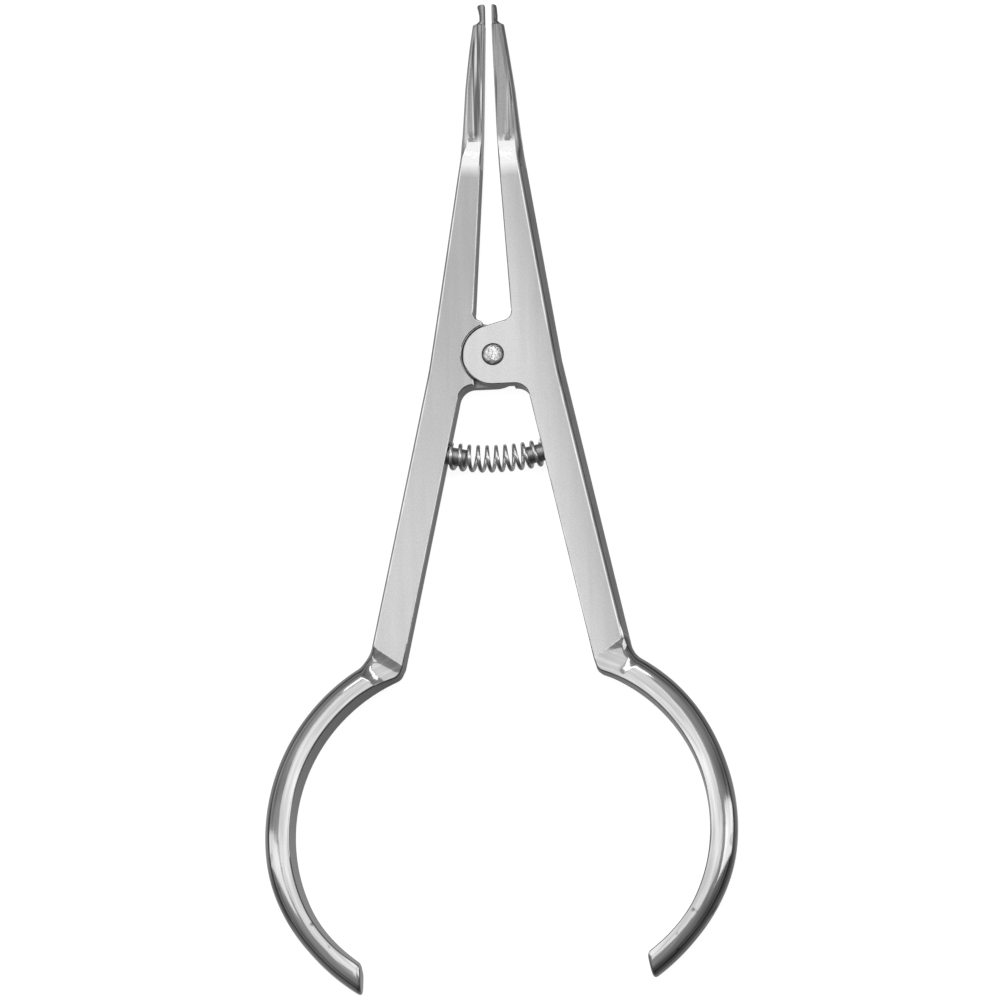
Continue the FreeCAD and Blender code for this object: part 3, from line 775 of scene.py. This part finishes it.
# Painted shade: the head's rim is darkened all round, where its steep sides fall into shade.
rim_painted_shade = rivet_finish.span(radius + dents * (0.5 * MM), 1.3 * MM, 1.75 * MM, 0.0, 1.0)
colour = rivet_finish.blend(rivet_finish.span(dents, 0.35, 0.65, 0.0, 1.0), 0.66, 0.97)
rivet_finish.feed("Base Color", rivet_finish.blend(rim_painted_shade, colour, 0.1))
rivet_finish.feed("Roughness", rivet_finish.span(dents, 0.3, 0.7, 0.16, 0.36) + rim_painted_shade * 0.2)
rivet_finish.bump(dents * 0.8 + fine * 0.1, 0.6, 0.05 * MM)
rivet.data.materials.append(rivet_finish.material)
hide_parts("pivot_rivet")
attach(rivet, "left_half")

# --- Spring pegs --------------------------------------------------------------------------------
# A short turned stud on the inner wall of each arm, pressed into a drilled hole. The ends of the
# return spring slip over the two studs.
SPRING_DOWN = 15.7
PEG_RADIUS = 1.3
PEG_LENGTH = 2.9
SHANK_RADIUS = 0.8
SHANK_LENGTH = 2.0
SHANK_CHAMFER = 0.15
PEG_ROUND = 0.3
PEG_SINK = 0.02


def peg_steel():
    finish = Finish("turned steel", Metallic=1.0)
    rings = finish.clouds(2600, 2.0, 0.5)
    finish.feed("Base Color", finish.add("ShaderNodeValToRGB", {
        "stops": [(0.3, (0.34, 0.34, 0.34)), (0.7, (0.5, 0.5, 0.5))]}, {"Fac": rings}))
    finish.feed("Roughness", finish.span(rings, 0.3, 0.7, 0.3, 0.45))
    finish.bump(rings, 0.3, 0.03 * MM)
    return finish.material


for side, mirror in (("left", -1), ("right", 1)):
    seat = on_arm(INNER_OFFSET, SPRING_DOWN)
    inward = Vector((-OUTWARD.x * mirror, -OUTWARD.y, 0))
    profile = [(SHANK_RADIUS - SHANK_CHAMFER, -SHANK_LENGTH),
               (SHANK_RADIUS, -SHANK_LENGTH + SHANK_CHAMFER),
               (SHANK_RADIUS, -PEG_SINK), (PEG_RADIUS, -PEG_SINK)]
    for step in range(7):
        turn = math.radians(15 * step)
        profile.append((PEG_RADIUS - PEG_ROUND * (1 - math.cos(turn)),
                        PEG_LENGTH - PEG_ROUND * (1 - math.sin(turn))))
    peg = turned(side + "_stud", profile, Vector((seat.x * mirror, seat.y, 0)), inward, 48)
    peg.data.shade_smooth()
    peg.data.set_sharp_from_angle(angle=math.radians(35))
    peg.data.materials.append(peg_steel())
    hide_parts(side + "_spring_peg")
    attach(peg, side + "_half")

# --- Return spring ------------------------------------------------------------------------------
# A small coil of spring wire pressed between the arms below the pivot. It pushes the handles apart
# and so brings the tips back together.
SPRING_CENTRE = 18.3
SPRING_BEND = 33.58
COIL_RADIUS = 1.75
WIRE_RADIUS = 0.3
TURNS = 10
WIRE_POINTS = 1200
WIRE_SIDES = 14
SEAT_GAP = 0.05
SPRING_HALF = math.radians(ARM_ANGLE) - (WIRE_RADIUS + SEAT_GAP) / (SPRING_BEND - COIL_RADIUS)


def coil_tree():
    """Nodes that wind a wire round an arc between two seats."""
    tree = bpy.data.node_groups.new("bent coil", "GeometryNodeTree")
    inputs = {}
    for name, kind in (("Turns", "NodeSocketFloat"), ("Coil radius", "NodeSocketFloat"),
                       ("Wire radius", "NodeSocketFloat"), ("Bend radius", "NodeSocketFloat"),
                       ("Half angle", "NodeSocketFloat"), ("Centre", "NodeSocketVector"),
                       ("Finish", "NodeSocketMaterial")):
        inputs[name] = tree.interface.new_socket(name, in_out="INPUT", socket_type=kind).identifier
    tree.interface.new_socket("Geometry", in_out="OUTPUT", socket_type="NodeSocketGeometry")
    nodes = Nodes(tree)
    given = tree.nodes.new("NodeGroupInput")
    turns, coil_radius, wire_radius, bend_radius, half_angle, centre, finish = [
        Reading(nodes, given.outputs[name]) for name in inputs]

    def wave(operation, angle):
        return nodes.add("ShaderNodeMath", {"operation": operation}, {0: angle})

    line = nodes.add("GeometryNodeMeshLine", {}, {"Count": WIRE_POINTS})
    share = nodes.add("GeometryNodeInputIndex", {}, {}) / (WIRE_POINTS - 1.0)
    turn = share * turns * (2 * math.pi)
    swing = (share * 2.0 - 1.0) * half_angle
    reach = bend_radius - coil_radius * wave("COSINE", turn)
    spot = nodes.add("ShaderNodeCombineXYZ", {}, {
        "X": reach * wave("SINE", swing), "Y": reach * wave("COSINE", swing) * -1.0,
        "Z": coil_radius * wave("SINE", turn)})
    spot = nodes.add("ShaderNodeVectorMath", {"operation": "ADD"}, {0: spot, 1: centre})
    path = nodes.add("GeometryNodeSetPosition", {}, {"Geometry": line, "Position": spot})
    curve = nodes.add("GeometryNodeMeshToCurve", {}, {"Mesh": path})
    ring = nodes.add("GeometryNodeCurvePrimitiveCircle", {"mode": "RADIUS"},
                     {"Resolution": WIRE_SIDES, "Radius": wire_radius})
    wire = nodes.add("GeometryNodeCurveToMesh", {}, {"Curve": curve, "Profile Curve": ring,
                                                     "Fill Caps": True})
    wire = nodes.add("GeometryNodeSetShadeSmooth", {}, {"Geometry": wire})
    wire = nodes.add("GeometryNodeRealizeInstances", {}, {"Geometry": wire})
    wire = nodes.add("GeometryNodeSetMaterial", {}, {"Geometry": wire, "Material": finish})
    tree.links.new(wire.socket, tree.nodes.new("NodeGroupOutput").inputs[0])
    return tree, inputs


wire_finish = Finish("spring wire", Metallic=1.0)
drawn = wire_finish.clouds(2200, 3.0, 0.6)
dull = wire_finish.clouds(400, 2.0, 0.5)
wire_finish.feed("Base Color", wire_finish.add("ShaderNodeValToRGB", {
    "stops": [(0.3, (0.8, 0.8, 0.8)), (0.7, (0.97, 0.97, 0.965))]},
    {"Fac": drawn * 0.5 + dull * 0.5}))
wire_finish.feed("Roughness", wire_finish.span(drawn, 0.3, 0.7, 0.16, 0.3))
wire_finish.bump(drawn, 0.3, 0.03 * MM)
coil, sockets = coil_tree()
spring = bpy.data.objects.new("coil_spring", bpy.data.meshes.new("coil_spring"))
bpy.context.collection.objects.link(spring)
winding = spring.modifiers.new("Winding", "NODES")
winding.node_group = coil
for name, value in {"Turns": float(TURNS), "Coil radius": COIL_RADIUS * MM,
                    "Wire radius": WIRE_RADIUS * MM, "Bend radius": SPRING_BEND * MM,
                    "Half angle": SPRING_HALF, "Centre": PIVOT + Vector((0, SPRING_CENTRE * MM, 0)),
                    "Finish": wire_finish.material}.items():
    winding[sockets[name]] = value
settle(spring)
seat = on_arm(INNER_OFFSET, SPRING_DOWN)
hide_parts("return_spring")
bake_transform(spring)

# --- Floor, light and camera --------------------------------------------------------------------
# The tool lies on a plain pale table under large soft lamps, and is seen from almost overhead.
FLOOR_REACH = 3.0
FLOOR_DROP = 0.0001
table_mesh = bpy.data.meshes.new("table")
corners = [(-1, -1), (1, -1), (1, 1), (-1, 1)]
table_mesh.from_pydata([(x * FLOOR_REACH, y * FLOOR_REACH, -FLOOR_DROP) for x, y in corners], [],
                       [(0, 1, 2, 3)])
table = bpy.data.objects.new("table", table_mesh)
bpy.context.collection.objects.link(table)
table_finish = Finish("pale table", Roughness=0.9, Emission_Color=(1, 1, 1, 1), Emission_Strength=0.88)
cloth = table_finish.clouds(30, 2.0, 0.5)
pale = table_finish.add("ShaderNodeValToRGB", {"stops": [(0.0, 0.48), (1.0, 0.5)]}, {"Fac": cloth})
table_finish.feed("Base Color", pale)
table_mesh.materials.append(table_finish.material)
# Kept out of the steel's reflections, so that the walls stay dark beside it.
table.visible_glossy = False


def softbox(name, spot, width, height, glow):
    """A flat lamp turned to the tool; glow is how bright its face looks."""
    lamp = bpy.data.lights.new(name, "AREA")
    lamp.shape = "RECTANGLE"
    lamp.size = width
    lamp.size_y = height
    lamp.energy = glow * math.pi * width * height
    obj = bpy.data.objects.new(name, lamp)
    obj.location = spot
    obj.rotation_euler = (-Vector(spot)).to_track_quat("-Z", "Y").to_euler()
    bpy.context.collection.objects.link(obj)


softbox("overhead", (-0.1, 0.24, 1.1), 0.75, 0.8, 0.72)
softbox("tip lamp", (-0.12, 0.72, 0.92), 0.7, 0.14, 1.9)
softbox("left strip", (-0.95, 0.1, 0.75), 0.22, 1.2, 0.9)
softbox("right strip", (0.95, 0.1, 0.6), 0.4, 1.2, 1.2)

# The room: pale and dark bands from the floor up, for the steel to reflect.
world = bpy.data.worlds.new("studio")
bpy.context.scene.world = world
world.use_nodes = True
room = Nodes(world.node_tree)
toward = room.add("ShaderNodeTexCoord", {}, {}, "Generated")
height = room.add("ShaderNodeSeparateXYZ", {}, {"Vector": toward}, "Z")
rightward = room.add("ShaderNodeSeparateXYZ", {}, {"Vector": toward}, "X")
northward = room.add("ShaderNodeSeparateXYZ", {}, {"Vector": toward}, "Y")
bands = [(0.0, 0.4), (0.3, 0.3), (0.48, 0.2), (0.52, 0.05), (0.6, 0.12), (0.66, 0.36), (0.74, 0.16),
         (0.82, 0.34), (0.92, 0.46), (1.0, 0.55)]
tones = room.add("ShaderNodeValToRGB", {"stops": bands},
                 {"Fac": room.span(height, -1.0, 1.0, 0.0, 1.0)})
strength = room.span(rightward, -1.0, 1.0, 1.25, 0.6) * room.span(northward, -1.0, 0.4, 0.25, 1.1)
tones = room.add("ShaderNodeVectorMath", {"operation": "SCALE"}, {"Vector": tones, "Scale": strength})
room.tree.links.new(tones.socket, room.tree.nodes["Background"].inputs["Color"])
bpy.context.scene.view_settings.view_transform = "Standard"

# The camera: an aim in millimetres from the pivot, a direction towards the camera, and a distance.
VIEW_AIM = Vector((0.46, -21.5, 0))
VIEW_FROM = Vector((40, -76, 350)).normalized()
VIEW_DISTANCE = 2400
VIEW_ROLL = -1.0
FOCAL_LENGTH = 589.5
lens = bpy.data.cameras.new("camera")
lens.sensor_width = 36
lens.lens = FOCAL_LENGTH
lens.clip_start = 0.01
camera = bpy.data.objects.new("camera", lens)
bpy.context.collection.objects.link(camera)
right = Vector((0, 1, 0)).cross(VIEW_FROM).normalized()
facing = Matrix((right, VIEW_FROM.cross(right), VIEW_FROM)).transposed()
facing = facing @ Matrix.Rotation(math.radians(VIEW_ROLL), 3, "Z")
spot = PIVOT + (VIEW_AIM + VIEW_FROM * VIEW_DISTANCE) * MM
camera.matrix_world = Matrix.Translation(spot) @ facing.to_4x4()
bpy.context.scene.camera = camera

bpy.context.view_layer.update()
